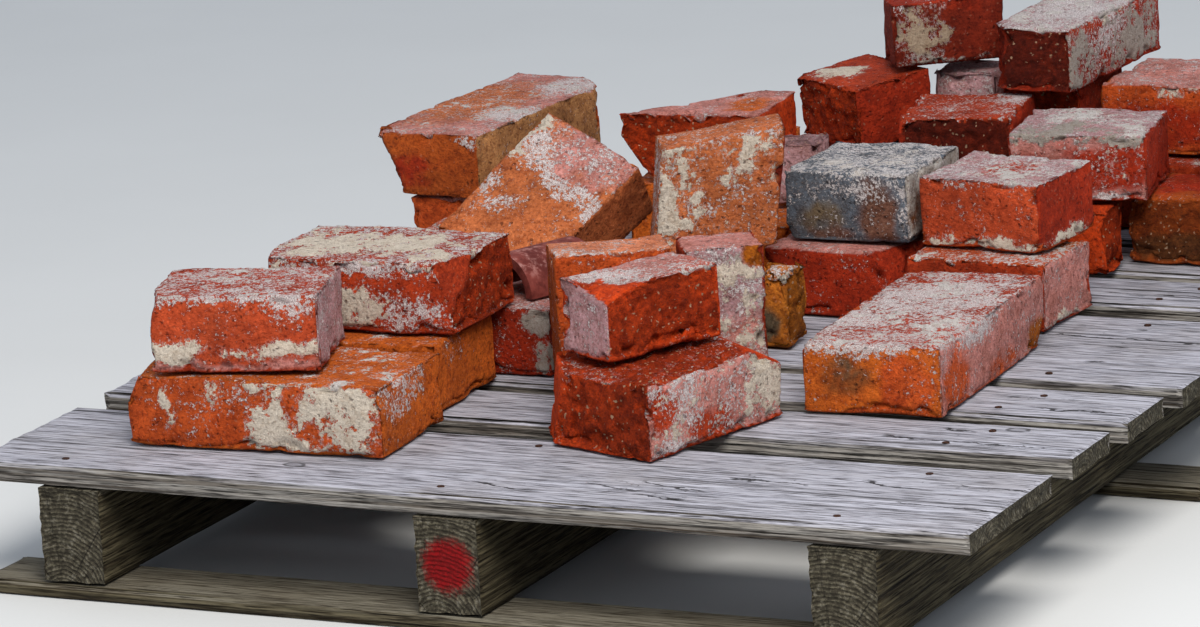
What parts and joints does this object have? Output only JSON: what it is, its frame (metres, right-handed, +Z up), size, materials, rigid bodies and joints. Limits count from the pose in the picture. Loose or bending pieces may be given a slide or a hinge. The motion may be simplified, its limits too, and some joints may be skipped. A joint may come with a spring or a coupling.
{
  "type": "pallet of bricks",
  "caption": "Nailed timber pallet with a loose heap of old reclaimed solid bricks, whole and broken, flecked with mortar.",
  "frame": {"origin": "on the ground under the middle of the pallet, on the underside of the middle bottom board", "axes": "+Z up, +X along the deck boards, +Y from the front of the pallet to its back"},
  "size_m": [1.0105, 1.2768, 0.366],
  "materials": {
    "weathered_wood": "weathered silver grey, rough sawn",
    "rusty_steel": "rusted",
    "orange_brick": "fired clay with lime mortar patches",
    "dark_red_brick": "rough broken fired clay",
    "ochre_brick": "worn fired clay",
    "pale_brick": "limed fired clay",
    "burnt_brick": "over-fired, blue grey",
    "fired_tile": "smooth fired clay"
  },
  "bodies": {
    "root": {"deck_board_1": "weathered_wood", "deck_board_2": "weathered_wood", "deck_board_3": "weathered_wood", "deck_board_4": "weathered_wood", "deck_board_5": "weathered_wood", "deck_board_6": "weathered_wood", "deck_board_7": "weathered_wood", "stringer_left": "weathered_wood", "stringer_middle": "weathered_wood", "stringer_right": "weathered_wood", "bottom_board_front": "weathered_wood", "bottom_board_middle": "weathered_wood", "bottom_board_back": "weathered_wood", "nails": "rusty_steel", "orange_brick_front": "orange_brick", "orange_brick_rear": "orange_brick", "speckled_bat": "orange_brick", "limed_brick": "orange_brick", "edge_bat_left": "orange_brick", "edge_bat_right": "orange_brick", "whole_brick": "orange_brick", "brick_behind_whole": "orange_brick", "red_brick": "orange_brick", "prop_bat": "orange_brick", "far_bat": "orange_brick", "upper_back_brick": "orange_brick", "leaning_bat": "orange_brick", "standing_bat": "orange_brick", "top_right_brick": "orange_brick", "top_left_brick": "orange_brick", "back_right_brick": "orange_brick", "edge_brick_right": "orange_brick", "large_red_brick": "orange_brick", "hidden_bricks": "orange_brick", "brick_under_tile": "dark_red_brick", "broken_brick": "dark_red_brick", "bat_on_broken_brick": "dark_red_brick", "dark_red_brick": "dark_red_brick", "rough_long_brick": "dark_red_brick", "rough_red_brick": "dark_red_brick", "dark_bat": "dark_red_brick", "grey_faced_brick": "dark_red_brick", "shadowed_bat": "dark_red_brick", "ochre_bat": "ochre_brick", "rounded_brown_brick": "ochre_brick", "small_pale_bat": "pale_brick", "pale_bat": "pale_brick", "burnt_grey_brick": "burnt_brick", "half_round_tile": "fired_tile"}
  },
  "joints": []
}
